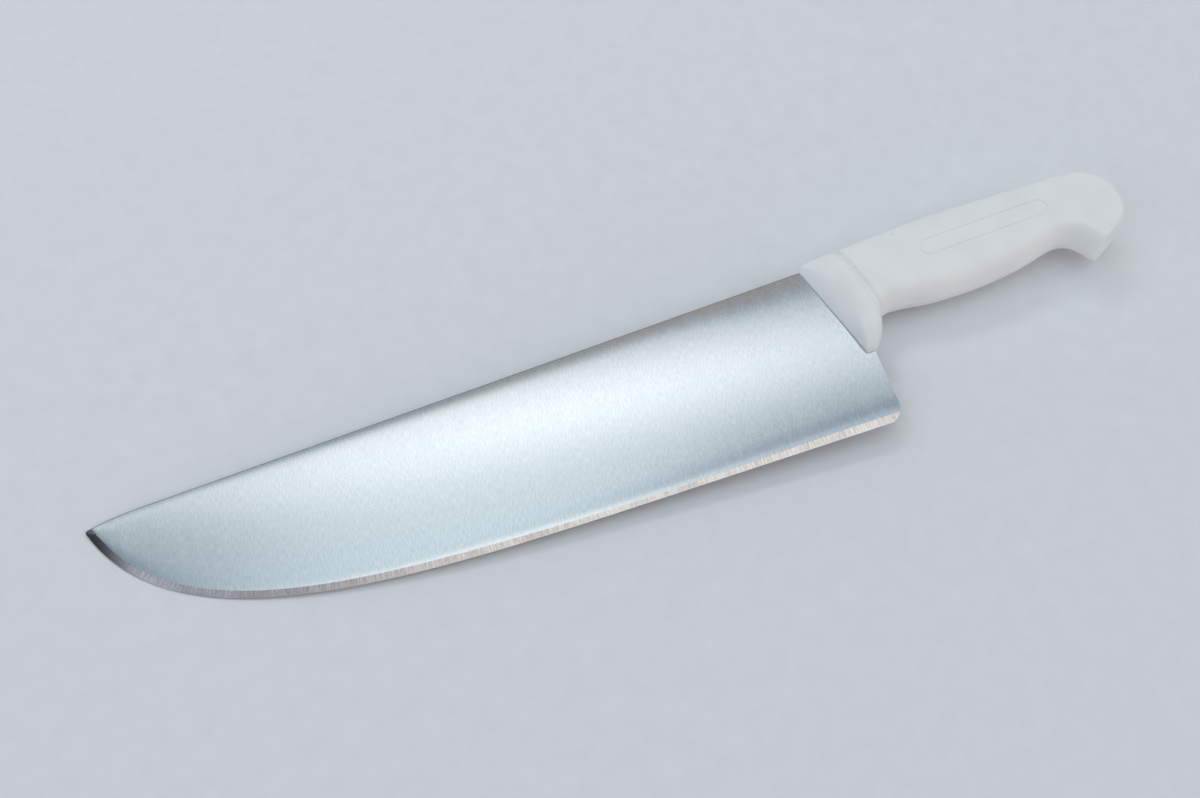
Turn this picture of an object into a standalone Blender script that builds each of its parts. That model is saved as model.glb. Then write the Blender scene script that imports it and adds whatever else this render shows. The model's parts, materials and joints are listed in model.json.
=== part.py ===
"""Butcher knife: a ground steel blade whose tang is moulded into a one-piece polypropylene handle."""

import math
from collections import namedtuple

import bmesh
import bpy
from mathutils import Matrix, Vector
from mathutils.bvhtree import BVHTree

# The knife is drawn in its own frame: X runs to the butt, Y to the spine, Z through the thickness.
# The origin is on the spine, where the guard begins. Sizes are in metres and angles in degrees.

# Blade outline
BLADE_LENGTH = 0.300        # guard to tip
HEEL_DEPTH = 0.0756         # spine to cutting edge, under the guard
EDGE_STRAIGHT = 0.0980      # straight part of the edge, forward of the guard
EDGE_RISE = 2.50            # the straight part climbs this much towards the tip
BELLY_REACH = 0.1055        # length of the curve's handle at the start of the belly
TIP_REACH = 0.0605          # length of the curve's handle at the tip
TIP_ANGLE = 72.8            # the edge meets the spine line at this angle
TIP_DROP = 0.0021           # the spine bends down to the tip
TIP_DROP_RUN = 0.024        # over this length
TIP_DROP_CURVE = 2.6        # 1 is a straight slope, more bends later
TIP_BLUNT = 0.0006          # height of the blunted tip
HEEL_BACK = 0.0131          # back edge of the heel, at the underside of the guard
HEEL_LEAN = 3.8             # the back edge leans forward by this
HEEL_RADIUS = 0.0080        # corner between the back edge and the cutting edge
HEEL_TURN = 84.0            # the corner turns this far and meets the cutting edge at a slight angle

# Blade thickness
STOCK = 0.0028              # sheet that the blank is stamped from
TIP_STOCK = 0.0012          # spine near the tip, after grinding
TIP_FADE = 0.6              # how suddenly the last few millimetres thin to the tip
SHOULDER = 0.0010           # thickness at the top of the bevel
EDGE = 0.00014              # thickness of the cutting edge
GRIND_ROUND = 1.7           # 1 is a flat grind, more is a fuller one
SPINE_EASE = 0.0002         # broken corners of the spine
BEVEL = 0.0020              # width of the bevel where it is narrowest
BEVEL_BELLY = 0.0029        # and round the belly
BEVEL_HEEL = 0.0034         # and at the heel
BEVEL_HEEL_RUN = 0.085      # the heel's wider bevel narrows over this length
BEVEL_BELLY_RUN = 0.085     # and widens again over this length past the straight edge
BEVEL_TIP_RUN = 0.006       # the bevel runs out over this length at the tip

# Tang, hidden in the handle
TANG_COVER = 0.0068         # plastic above and below the tang
TANG_END_COVER = 0.034      # plastic behind the tang
TANG_SET_BACK = 0.002       # the full sheet thickness starts this far inside the guard
TANG_CORNER = 0.004         # rounded end of the tang
TANG_SHOULDER = 0.0100      # the spine ends here, inside the guard
HOLE_RADIUS = 0.0034        # anchoring holes, which the plastic fills
HOLE_COUNT = 3
HOLE_PITCH = 0.027
CLEARANCE = 0.0003          # gap kept between the steel and the plastic
CUTTER_PAST = 0.020         # cutters run past the steel by this

# Handle
HANDLE_LENGTH = 0.1395      # guard to butt
GRIP_THICKNESS = 0.0208
GRIP_CROWN = 0.0042         # the back of the grip stands this far above the spine
GRIP_BELLY = 0.0326         # the belly of the grip hangs this far below it
NECK_DEPTH = 0.0292         # underside of the grip just behind the guard
FINGER_DEPTH = 0.0273       # underside of the grip in the hollow before the hook
HOOK_DEPTH = 0.0369         # point of the hook
GRIP_EDGE = 0.0088          # rounding of the grip's long edges
GRIP_SQUARE = 2.2           # 2 rounds them to an ellipse, more to a squarer corner
HOOK_EDGE = 0.0058          # rounding of the hook's edges
HOOK_SQUARE = 2.1

# Guard
GUARD_DEPTH = 0.0450        # spine to the guard's lower end
GUARD_LEAN = 12.4           # its front edge leans back by this
GUARD_THICKNESS = 0.0256    # across the rim
GUARD_NOSE = 0.0006         # the handle stands this far above the spine at its front edge
GUARD_BACK = 0.0029         # and this far at the rim
GUARD_LIP = 0.0009          # plastic beside the slot, at the front edge
GUARD_CORNER = 0.003        # rounding of the front edge's ends
GUARD_SQUARE = 2.5          # squareness of the rim's edges
RIM_TOP = 0.0122            # front edge to rim, at the spine
RIM_FOOT = 0.0064           # front edge to rim, at the lower end
RIM_RISE = 0.0032           # the lower end climbs this much from front edge to rim
RIM_BOW = 0.0023            # the rim bows towards the butt
ROLL_TOP = 0.0035           # rim to the side of the grip, at the spine
ROLL_FOOT = 0.0062          # rim to the underside of the grip, at the lower end

# Outline of the label field on the photographed side, a shallow groove with nothing in it
FIELD_START = 0.0475
FIELD_LENGTH = 0.0585
FIELD_HEIGHT = 0.0076
FIELD_CENTRE = 0.0132
GROOVE_WIDTH = 0.0006
GROOVE_DEPTH = 0.00025

# Fineness of the meshes
STRAIGHT_STEPS = 12
BELLY_STEPS = 34
FLANK_STEPS = 8
ARC_STEPS = 8
HOLE_SIDES = 24
SPAN_STEPS = 3
CORNER_STEPS = 7
SIDE_STEPS = 4

STEEL_DENSITY = 7750.0
PLASTIC_DENSITY = 905.0
MERGE = 1e-6

Station = namedtuple("Station", "outer inner half bow outer_edge inner_edge square")


def clear_scene():
    """Starts from an empty file."""
    for thing in list(bpy.data.objects):
        bpy.data.objects.remove(thing, do_unlink=True)


def make_collection(name):
    """Adds a collection to the scene."""
    group = bpy.data.collections.new(name)
    bpy.context.scene.collection.children.link(group)
    return group


def add_object(name, mesh, group):
    """Puts a mesh into a collection as an object."""
    thing = bpy.data.objects.new(name, mesh)
    group.objects.link(thing)
    return thing


def evaluated_mesh(thing):
    """Gives the object's mesh as the viewport shows it."""
    graph = bpy.context.evaluated_depsgraph_get()
    return bpy.data.meshes.new_from_object(thing.evaluated_get(graph))


def mix(low, high, share):
    """Blends two values."""
    return low + (high - low) * share


def smooth(share):
    """Eases a share between 0 and 1."""
    share = min(max(share, 0.0), 1.0)
    return share * share * (3 - 2 * share)


def loft(name, rings, group):
    """Skins a row of closed rings and caps both ends."""
    bm = bmesh.new()
    rows = [[bm.verts.new(point) for point in ring] for ring in rings]
    count = len(rows[0])
    for near, far in zip(rows, rows[1:]):
        for k in range(count):
            after = (k + 1) % count
            bm.faces.new((near[k], near[after], far[after], far[k]))
    bm.faces.new(rows[0])
    bm.faces.new(rows[-1])
    bmesh.ops.recalc_face_normals(bm, faces=bm.faces)
    mesh = bpy.data.meshes.new(name)
    bm.to_mesh(mesh)
    bm.free()
    return add_object(name, mesh, group)


def plate(name, outlines, half, group, centre=0.0):
    """Extrudes flat outlines, holes among them, to a plate about Z = centre."""
    curve = bpy.data.curves.new(name, "CURVE")
    curve.dimensions = "2D"
    curve.fill_mode = "BOTH"
    curve.extrude = half
    for outline in outlines:
        spline = curve.splines.new("POLY")
        spline.points.add(len(outline) - 1)
        for point, (x, y) in zip(spline.points, outline):
            point.co = (x, y, 0.0, 1.0)
        spline.use_cyclic_u = True
    drawn = add_object(name + "_curve", curve, group)
    drawn.location.z = centre
    bpy.context.view_layer.update()
    mesh = evaluated_mesh(drawn)
    solid = add_object(name, mesh, group)
    solid.matrix_world = drawn.matrix_world
    bpy.data.objects.remove(drawn, do_unlink=True)
    bm = bmesh.new()
    bm.from_mesh(mesh)
    bmesh.ops.remove_doubles(bm, verts=bm.verts, dist=MERGE)
    bmesh.ops.recalc_face_normals(bm, faces=bm.faces)
    bm.to_mesh(mesh)
    bm.free()
    return solid


def combine(target, tool, operation):
    """Cuts or joins a solid with another one."""
    step = target.modifiers.new(operation.lower(), "BOOLEAN")
    step.operation = operation
    step.object = tool
    bpy.context.view_layer.update()
    mesh = evaluated_mesh(target)
    target.modifiers.clear()
    target.data = mesh
    tool.hide_render = True
    tool.display_type = "WIRE"


def arc(centre, radius, start, end, steps):
    """Points on an arc, with both its ends."""
    turns = [math.radians(mix(start, end, k / steps)) for k in range(steps + 1)]
    return [(centre[0] + radius * math.cos(turn), centre[1] + radius * math.sin(turn)) for turn in turns]


def circle(centre, radius):
    """Points round a hole."""
    return arc(centre, radius, 0.0, 360.0 * (1 - 1 / HOLE_SIDES), HOLE_SIDES - 1)


def bezier(points, share):
    """A point on a cubic Bezier curve, and the direction there."""
    a, b, c, d = points
    rest = 1 - share
    place = a * rest**3 + b * 3 * rest**2 * share + c * 3 * rest * share**2 + d * share**3
    heading = (b - a) * rest**2 + (c - b) * 2 * rest * share + (d - c) * share**2
    return place, heading.normalized()


def edge_height(x):
    """Height of the straight part of the cutting edge."""
    return -HEEL_DEPTH - x * math.tan(math.radians(EDGE_RISE))


def spine_height(x):
    """Height of the spine, which bends down near the tip."""
    share = max(0.0, (TIP_DROP_RUN - BLADE_LENGTH - x) / TIP_DROP_RUN)
    return -TIP_DROP * share**TIP_DROP_CURVE


def edge_rungs():
    """Points along the cutting edge from behind the heel to the tip, with their headings."""
    start = Vector((HEEL_BACK + HEEL_RADIUS / 2, 0.0))
    start.y = edge_height(start.x)
    bend = Vector((-EDGE_STRAIGHT, edge_height(-EDGE_STRAIGHT)))
    along = (bend - start).normalized()
    tip = Vector((-BLADE_LENGTH, -TIP_DROP - TIP_BLUNT))
    lean = math.radians(TIP_ANGLE)
    toe = tip + Vector((math.cos(lean), -math.sin(lean))) * TIP_REACH
    belly = [bend, bend + along * BELLY_REACH, toe, tip]
    rungs = [(start.lerp(bend, k / STRAIGHT_STEPS), along) for k in range(STRAIGHT_STEPS)]
    return rungs + [bezier(belly, k / BELLY_STEPS) for k in range(BELLY_STEPS + 1)]


def bevel_width(place, tip):
    """Width of the bevel: wide at the heel, narrow along the straight, wider again round the belly."""
    heel_share = 1 - smooth(-place.x / BEVEL_HEEL_RUN)
    belly_share = smooth((-place.x - EDGE_STRAIGHT) / BEVEL_BELLY_RUN)
    width = BEVEL + (BEVEL_HEEL - BEVEL) * heel_share + (BEVEL_BELLY - BEVEL) * belly_share
    fade = min(1.0, (place - tip).length / BEVEL_TIP_RUN)
    return max(width * fade, TIP_BLUNT / 2)


def blade_ring(place, heading, tip, grow):
    """Section of the ground bar across one point of its edge."""
    fade = min(1.0, (TIP_BLUNT + (place - tip).length) / BEVEL_TIP_RUN) ** TIP_FADE
    share = min(max(-place.x / BLADE_LENGTH, 0.0), 1.0)
    top = Vector((place.x, spine_height(place.x) + grow))
    inward = Vector((heading.y, -heading.x)) * bevel_width(place, tip)
    shoulder = place + inward
    spine_half = mix(STOCK, TIP_STOCK, share) / 2 * fade
    shoulder_half = SHOULDER / 2 * fade
    ease = SPINE_EASE * fade
    side = [(top, spine_half - ease), (top - Vector((0.0, ease)), spine_half)]
    for k in range(1, FLANK_STEPS + 1):
        part = k / FLANK_STEPS
        half = mix(shoulder_half, spine_half, 1 - part**GRIND_ROUND)
        side.append((top.lerp(shoulder, part), half))
    side.append((place - Vector((0.0, grow)), EDGE / 2))
    right = [(point.x, point.y, half + grow) for point, half in side]
    left = [(x, y, -z) for x, y, z in reversed(right)]
    return right + left


def heel_outline(grow):
    """Outline of what is cut away behind the heel and above the tang."""
    lean = math.tan(math.radians(HEEL_LEAN))
    rise = math.radians(EDGE_RISE)

    def back(y):
        return HEEL_BACK + grow + (y + GUARD_DEPTH) * lean

    middle = tang_middle()
    reach = HEEL_RADIUS + grow
    low = -HEEL_DEPTH - grow + reach
    centre = (back(low) - reach / math.cos(math.radians(HEEL_LEAN)), low - HEEL_BACK * math.tan(rise))
    corner = arc(centre, reach, -HEEL_LEAN, -HEEL_TURN, ARC_STEPS)
    shoulder = TANG_SHOULDER + grow
    far = HEEL_BACK + CUTTER_PAST
    below = -HEEL_DEPTH - CUTTER_PAST
    return (
        [(shoulder, CUTTER_PAST), (shoulder, middle), (back(middle), middle)]
        + corner
        + [(corner[-1][0], below), (far, below), (far, CUTTER_PAST)]
    )


def tang_top():
    """Upper edge of the tang."""
    return -TANG_COVER


def tang_bottom():
    """Lower edge of the tang."""
    return TANG_COVER - FINGER_DEPTH


def tang_middle():
    """Centre line of the tang."""
    return (tang_top() + tang_bottom()) / 2


def tang_outlines(grow):
    """Outline of the tang and of its anchoring holes."""
    end = HANDLE_LENGTH - TANG_END_COVER + grow
    top = tang_top() + grow
    bottom = tang_bottom() - grow
    radius = TANG_CORNER + grow
    start = TANG_SET_BACK - tang_bottom() * math.tan(math.radians(GUARD_LEAN)) - grow
    body = [(start, bottom)]
    body += arc((end - radius, bottom + radius), radius, -90.0, 0.0, ARC_STEPS)
    body += arc((end - radius, top - radius), radius, 0.0, 90.0, ARC_STEPS)
    body += [(start, top)]
    last = end - grow - HOLE_RADIUS * 3
    places = [(last - k * HOLE_PITCH, tang_middle()) for k in range(HOLE_COUNT)]
    return [body] + [circle(place, HOLE_RADIUS - grow) for place in places]


def make_blade(name, grow, group, tools):
    """The blade with its tang: a ground bar, trimmed at the heel and joined with the tang."""
    rungs = edge_rungs()
    tip = rungs[-1][0]
    rings = [blade_ring(place, heading, tip, grow) for place, heading in rungs]
    blade = loft(name, rings, group)
    combine(blade, plate(name + "_heel_cutter", [heel_outline(grow)], HEEL_DEPTH, tools), "DIFFERENCE")
    combine(blade, plate(name + "_tang", tang_outlines(grow), STOCK / 2 + grow, tools), "UNION")
    return blade


def guard_stations():
    """Sections of the guard: the front flares from the blade to the rim, then rolls over to the grip."""
    grip = GRIP_THICKNESS / 2
    rim = GUARD_THICKNESS / 2
    lip = STOCK / 2 + CLEARANCE + GUARD_LIP
    tall = GUARD_DEPTH / 2
    foot = GUARD_DEPTH * math.tan(math.radians(GUARD_LEAN))
    rows = []
    for share in (0.0, 0.12, 0.32, 0.56, 0.8, 1.0):
        swell = math.sin(math.radians(90.0 * share**0.8))
        outer = (RIM_TOP * share, mix(GUARD_NOSE, GUARD_BACK, 1 - (1 - share) ** 9))
        inner = (foot + RIM_FOOT * share, RIM_RISE * share**3 - GUARD_DEPTH)
        edge = mix(GUARD_CORNER, tall, smooth(share * 1.6))
        square = mix(2.0, GUARD_SQUARE, min(1.0, share * 2))
        rows.append(Station(outer, inner, mix(lip, rim, swell), RIM_BOW * share, edge, edge, square))
    for share, side in ((0.30, 0.75), (0.62, 0.16), (1.0, 0.0)):
        outer = (RIM_TOP + ROLL_TOP * share, GUARD_BACK)
        depth = mix(GUARD_DEPTH - RIM_RISE, NECK_DEPTH + 0.0026, share**1.5)
        inner = (foot + RIM_FOOT + ROLL_FOOT * share, -depth)
        edge = mix(tall, GRIP_EDGE * 1.2, share**0.7)
        square = mix(GUARD_SQUARE, GRIP_SQUARE, share)
        rows.append(Station(outer, inner, mix(grip, rim, side), RIM_BOW * (1 - share), edge, edge, square))
    return rows


def grip_stations():
    """Sections of the grip, from behind the guard to the hollow for the little finger."""
    half = GRIP_THICKNESS / 2
    neck = -NECK_DEPTH
    belly = -GRIP_BELLY
    finger = -FINGER_DEPTH
    butt = HANDLE_LENGTH
    rows = [
        ((0.0215, 0.0030), (0.0262, neck - 0.0003), GRIP_EDGE * 1.1),
        ((0.0300, 0.0033), (0.0325, neck - 0.0003), GRIP_EDGE),
        ((0.0430, 0.0038), (0.0450, belly + 0.0010), GRIP_EDGE),
        ((0.0590, GRIP_CROWN), (0.0610, belly), GRIP_EDGE),
        ((butt - 0.0625, 0.0034), (butt - 0.0630, belly + 0.0004), GRIP_EDGE),
        ((butt - 0.0465, 0.0028), (butt - 0.0480, finger - 0.0030), GRIP_EDGE),
        ((butt - 0.0330, 0.0020), (butt - 0.0385, finger - 0.0008), GRIP_EDGE * 0.9),
    ]
    return [Station(outer, inner, half, 0.0, edge, edge, GRIP_SQUARE) for outer, inner, edge in rows]


def hook_stations():
    """Sections that fan round the butt to the point of the hook."""
    half = GRIP_THICKNESS / 2
    edge = HOOK_EDGE
    finger = -FINGER_DEPTH
    butt = HANDLE_LENGTH
    point = -HOOK_DEPTH
    rows = [
        ((butt - 0.0205, 0.0011), (butt - 0.0325, finger), half, edge * 1.2, edge * 1.2),
        ((butt - 0.0114, -0.0006), (butt - 0.0284, finger - 0.0006), half, edge, edge),
        ((butt - 0.0044, -0.0052), (butt - 0.0258, finger - 0.0022), half, edge, edge),
        ((butt - 0.0008, -0.0116), (butt - 0.0242, finger - 0.0042), half, edge, edge),
        ((butt, -0.0186), (butt - 0.0231, finger - 0.0061), half, edge, edge),
        ((butt - 0.0018, -0.0256), (butt - 0.0222, finger - 0.0076), half, edge, edge),
        ((butt - 0.0058, -0.0301), (butt - 0.0214, point + 0.0010), half, edge, 0.0046),
        ((butt - 0.0104, -0.0330), (butt - 0.0206, point + 0.0002), half * 0.97, 0.0046, 0.0042),
        ((butt - 0.0144, -0.0350), (butt - 0.0199, point), half * 0.86, 0.0025, 0.0025),
        ((butt - 0.0168, -0.0361), (butt - 0.0190, point + 0.0001), half * 0.66, 0.0009, 0.0009),
    ]
    return [Station(outer, inner, wide, 0.0, top, low, HOOK_SQUARE) for outer, inner, wide, top, low in rows]


def handle_stations():
    """All sections of the handle, from the front edge of the guard to the point of the hook."""
    return guard_stations() + grip_stations() + hook_stations()


def slope(before, here, after, step_before, step_after, limited):
    """Slope of a smooth curve at a knot; a limited one never overshoots its knots."""
    first = (here - before) / step_before
    second = (after - here) / step_after
    if limited and first * second <= 0.0:
        return 0.0
    mean = (first * step_after + second * step_before) / (step_before + step_after)
    if limited:
        bound = 3 * min(abs(first), abs(second))
        return min(max(mean, -bound), bound)
    return mean


def spline_row(knots, values, limited):
    """Values of a smooth curve through the knots, with SPAN_STEPS steps in each span."""
    count = len(knots)
    slopes = []
    for k in range(count):
        low = max(k - 1, 0)
        high = min(k + 1, count - 1)
        if low == k or high == k:
            slopes.append((values[high] - values[low]) / (knots[high] - knots[low]))
        else:
            gap_before = knots[k] - knots[low]
            gap_after = knots[high] - knots[k]
            slopes.append(slope(values[low], values[k], values[high], gap_before, gap_after, limited))
    row = []
    for k in range(count - 1):
        span = knots[k + 1] - knots[k]
        for step in range(SPAN_STEPS):
            t = step / SPAN_STEPS
            rest = 1 - t
            start = values[k] * (1 + 2 * t) * rest**2 + slopes[k] * span * t * rest**2
            end = values[k + 1] * t**2 * (3 - 2 * t) - slopes[k + 1] * span * t**2 * rest
            row.append(start + end)
    row.append(values[-1])
    return row


def handle_ring(outer, inner, half, bow, outer_edge, inner_edge, square):
    """Ring round one section: flat sides whose edges round over to the outer and the inner line."""
    across = inner - outer
    width = across.length
    down = across / width
    aft = Vector((-down.y, down.x))
    fit = min(1.0, 0.96 * width / (outer_edge + inner_edge))
    outer_edge *= fit
    inner_edge *= fit
    turns = [math.radians(90.0 * k / CORNER_STEPS) for k in range(CORNER_STEPS + 1)]
    rise = [(1 - math.cos(turn) ** (2 / square), half * math.sin(turn) ** (2 / square)) for turn in turns]
    side = [(outer_edge * part, z) for part, z in rise]
    for k in range(1, SIDE_STEPS):
        side.append((mix(outer_edge, width - inner_edge, k / SIDE_STEPS), half))
    side += [(width - inner_edge * part, z) for part, z in reversed(rise)]
    side[0] = (0.0, 0.0)
    side[-1] = (width, 0.0)
    ring = side + [(w, -z) for w, z in reversed(side[1:-1])]
    points = []
    for w, z in ring:
        place = outer + down * w + aft * bow * (1 - (2 * w / width - 1) ** 2)
        points.append((place.x, place.y, z))
    return points


def handle_rings():
    """Rings of the handle, in even steps between its stations."""
    stations = handle_stations()
    knots = [0.0]
    for near, far in zip(stations, stations[1:]):
        upper = (Vector(far.outer) - Vector(near.outer)).length
        lower = (Vector(far.inner) - Vector(near.inner)).length
        knots.append(knots[-1] + (upper + lower) / 2)
    rails = []
    for rail in ("outer", "inner"):
        for axis in (0, 1):
            rails.append(spline_row(knots, [getattr(station, rail)[axis] for station in stations], False))
    fields = ("half", "bow", "outer_edge", "inner_edge", "square")
    shapes = []
    for field in fields:
        shapes.append(spline_row(knots, [getattr(station, field) for station in stations], True))
    rings = []
    for ox, oy, ix, iy, *shape in zip(*rails, *shapes):
        rings.append(handle_ring(Vector((ox, oy)), Vector((ix, iy)), *shape))
    return rings


def racetrack(length, height, centre):
    """Outline with straight sides and round ends."""
    radius = height / 2
    reach = length / 2 - radius
    right = arc((centre[0] + reach, centre[1]), radius, -90.0, 90.0, ARC_STEPS)
    left = arc((centre[0] - reach, centre[1]), radius, 90.0, 270.0, ARC_STEPS)
    return right + left


def make_handle(name, group, tools):
    """The handle, moulded round the tang: guard, grip and hook in one piece."""
    handle = loft(name, handle_rings(), group)
    combine(handle, make_blade(name + "_slot", CLEARANCE, tools, tools), "DIFFERENCE")
    centre = (FIELD_START + FIELD_LENGTH / 2, -FIELD_CENTRE)
    ring = [
        racetrack(FIELD_LENGTH, FIELD_HEIGHT, centre),
        racetrack(FIELD_LENGTH - GROOVE_WIDTH * 2, FIELD_HEIGHT - GROOVE_WIDTH * 2, centre),
    ]
    groove = plate(name + "_groove", ring, GROOVE_DEPTH, tools, GRIP_THICKNESS / 2)
    combine(handle, groove, "DIFFERENCE")
    return handle


def mass_centre(thing, density):
    """Mass of a solid and its centre, in the knife's frame."""
    bm = bmesh.new()
    bm.from_mesh(thing.data)
    volume = 0.0
    moment = Vector((0.0, 0.0, 0.0))
    for a, b, c in (tuple(loop.vert.co for loop in loops) for loops in bm.calc_loop_triangles()):
        part = a.dot(b.cross(c)) / 6
        volume += part
        moment += (a + b + c) / 4 * part
    bm.free()
    return volume * density, moment / volume


def resting_matrix(pieces):
    """Lays the knife on its -Z side, on the face of its hull that is under its centre of mass."""
    weights = [mass_centre(thing, density) for thing, density in pieces]
    total = sum(mass for mass, place in weights)
    centre = sum((place * mass for mass, place in weights), Vector()) / total
    points = [vert.co.copy() for thing, density in pieces for vert in thing.data.vertices]
    bm = bmesh.new()
    for point in points:
        bm.verts.new(point)
    hull = bmesh.ops.convex_hull(bm, input=bm.verts)
    bmesh.ops.delete(bm, geom=hull["geom_interior"], context="VERTS")
    tree = BVHTree.FromBMesh(bm)
    bm.free()
    floor = Vector((0.0, 0.0, -1.0))
    down = floor
    for _ in range(len(points)):
        place, normal, index, distance = tree.ray_cast(centre, down)
        if normal.dot(down) < 0:
            normal = -normal
        if (normal - down).length < MERGE:
            break
        down = normal
    turn = down.rotation_difference(floor).to_matrix().to_4x4()
    laid = [turn @ point for point in points]
    low = Vector([min(point[axis] for point in laid) for axis in range(3)])
    high = Vector([max(point[axis] for point in laid) for axis in range(3)])
    middle = (low + high) / 2
    return Matrix.Translation((-middle.x, -middle.y, -low.z)) @ turn


def finish(thing, name, colour, metallic, roughness, sharp):
    """Gives a piece its material and its shading."""
    material = bpy.data.materials.new(name)
    material.use_nodes = True
    shader = material.node_tree.nodes["Principled BSDF"]
    shader.inputs["Base Color"].default_value = (*colour, 1.0)
    shader.inputs["Metallic"].default_value = metallic
    shader.inputs["Roughness"].default_value = roughness
    thing.data.materials.clear()
    thing.data.materials.append(material)
    thing.data.shade_smooth()
    thing.data.set_sharp_from_angle(angle=math.radians(sharp))


def main():
    """Builds the knife and lays it down."""
    clear_scene()
    knife = make_collection("butcher_knife")
    tools = make_collection("cutters")
    blade = make_blade("blade", 0.0, knife, tools)
    handle = make_handle("handle", knife, tools)
    finish(blade, "ground_stainless_steel", (0.62, 0.65, 0.67), 1.0, 0.32, 20.0)
    finish(handle, "white_polypropylene", (0.80, 0.81, 0.80), 0.0, 0.45, 35.0)
    rest = bpy.data.objects.new("lying_down", None)
    knife.objects.link(rest)
    rest.matrix_world = resting_matrix([(blade, STEEL_DENSITY), (handle, PLASTIC_DENSITY)])
    blade.parent = rest
    handle.parent = rest
    tools.hide_render = True


main()
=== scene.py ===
"""Butcher knife: the looks of its ground blade and its moulded handle, and the studio that shows them.

Laid out as an add-on and run as a script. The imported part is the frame; each piece here is a finer
skin of one of its nodes, drawn from the same sizes.
"""

import json
import math
from collections import namedtuple

import bmesh
import bpy
from bpy.props import FloatProperty, FloatVectorProperty, PointerProperty
from mathutils import Matrix, Vector
from mathutils.kdtree import KDTree


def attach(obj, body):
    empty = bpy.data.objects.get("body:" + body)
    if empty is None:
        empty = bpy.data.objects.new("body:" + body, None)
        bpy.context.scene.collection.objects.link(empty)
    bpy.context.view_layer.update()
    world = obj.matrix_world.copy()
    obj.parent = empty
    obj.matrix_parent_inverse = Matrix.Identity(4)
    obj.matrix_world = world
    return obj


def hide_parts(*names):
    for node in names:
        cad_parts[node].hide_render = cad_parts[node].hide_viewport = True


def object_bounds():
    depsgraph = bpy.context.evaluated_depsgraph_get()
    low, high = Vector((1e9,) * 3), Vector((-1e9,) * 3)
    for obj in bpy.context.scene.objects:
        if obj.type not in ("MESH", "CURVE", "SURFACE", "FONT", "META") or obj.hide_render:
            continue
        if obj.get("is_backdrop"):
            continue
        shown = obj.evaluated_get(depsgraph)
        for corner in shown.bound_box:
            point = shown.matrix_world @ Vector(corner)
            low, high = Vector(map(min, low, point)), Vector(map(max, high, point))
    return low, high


bl_info = {
    "name": "Butcher knife",
    "version": (1, 0, 0),
    "blender": (4, 5, 0),
    "location": "3D View > Sidebar > Knife",
    "description": "Builds the ground blade, the moulded handle and their studio",
    "category": "Object",
}

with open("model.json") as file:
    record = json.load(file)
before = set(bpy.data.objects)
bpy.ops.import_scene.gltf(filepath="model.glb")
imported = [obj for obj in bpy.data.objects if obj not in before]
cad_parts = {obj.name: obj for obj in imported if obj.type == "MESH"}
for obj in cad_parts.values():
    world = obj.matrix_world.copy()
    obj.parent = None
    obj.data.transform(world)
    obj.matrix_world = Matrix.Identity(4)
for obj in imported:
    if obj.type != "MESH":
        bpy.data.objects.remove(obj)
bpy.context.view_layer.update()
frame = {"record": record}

# The knife is drawn in its own frame, as in the part's source: X runs to the butt, Y to the spine,
# Z through the thickness, with the origin on the spine where the guard begins. Metres and degrees.

# Blade outline
BLADE_LENGTH = 0.300
HEEL_DEPTH = 0.0756
EDGE_STRAIGHT = 0.0980  # straight part of the edge, forward of the guard
EDGE_RISE = 2.50  # the straight part climbs this much towards the tip
BELLY_REACH = 0.1055  # length of the curve's handle there
TIP_REACH = 0.0605  # and at the tip
TIP_ANGLE = 72.8
TIP_DROP = 0.0021  # the spine bends down this far near the tip
TIP_DROP_RUN = 0.024
TIP_DROP_CURVE = 2.6
TIP_BLUNT = 0.0006  # height of the blunt point
HEEL_BACK = 0.0131  # the back of the heel is this far behind the guard's start
HEEL_LEAN = 3.8
HEEL_RADIUS = 0.0080
HEEL_TURN = 84.0

# Blade thickness
STOCK = 0.0028
TIP_STOCK = 0.0012
TIP_FADE = 0.6
SHOULDER = 0.00099  # above the bevel
EDGE = 0.00014
GRIND_ROUND = 1.7  # 1 is a flat grind, more is a fuller one
BEVEL = 0.0020  # width of the bevel where it is narrowest
BEVEL_BELLY = 0.0029  # and round the belly
BEVEL_HEEL = 0.0034  # and at the heel
BEVEL_HEEL_RUN = 0.085
BEVEL_BELLY_RUN = 0.085
BEVEL_TIP_RUN = 0.003  # the bevel runs out over this length at the tip
TIP_RUN = 0.006  # and the blade thins to its point over this length
ROLL_RUN = 0.0095  # above the bevel the flank rolls over a little more, over this length
ROLL_TURN = 2.2  # by this angle, at the bevel
ROLL_SHARE = 0.4  # and over no more of the depth than this
CROWN_RUN = 0.0092  # below the spine the belt rolled over too, over this length
CROWN_RUN_TIP = 0.0055  # less at the tip
CROWN_RUN_GUARD = 0.0085  # and this much further at the guard
CROWN_FADE = 0.070  # which fades over this length
CROWN_TURN = 1.6  # angle at the spine
CROWN_SHARE = 0.3
SPINE_ROUND = 0.0003  # radius of the spine's broken corners

# Tang
TANG_COVER = 0.0068  # plastic above and below the tang
TANG_END_COVER = 0.034  # and behind it
TANG_SET_BACK = 0.002
TANG_CORNER = 0.004
TANG_SHOULDER = 0.0100  # the full depth of the blade ends this far into the guard
HOLE_RADIUS = 0.0034
HOLE_COUNT = 3
HOLE_PITCH = 0.027
CUTTER_PAST = 0.020  # cutters run past the steel by this

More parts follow.
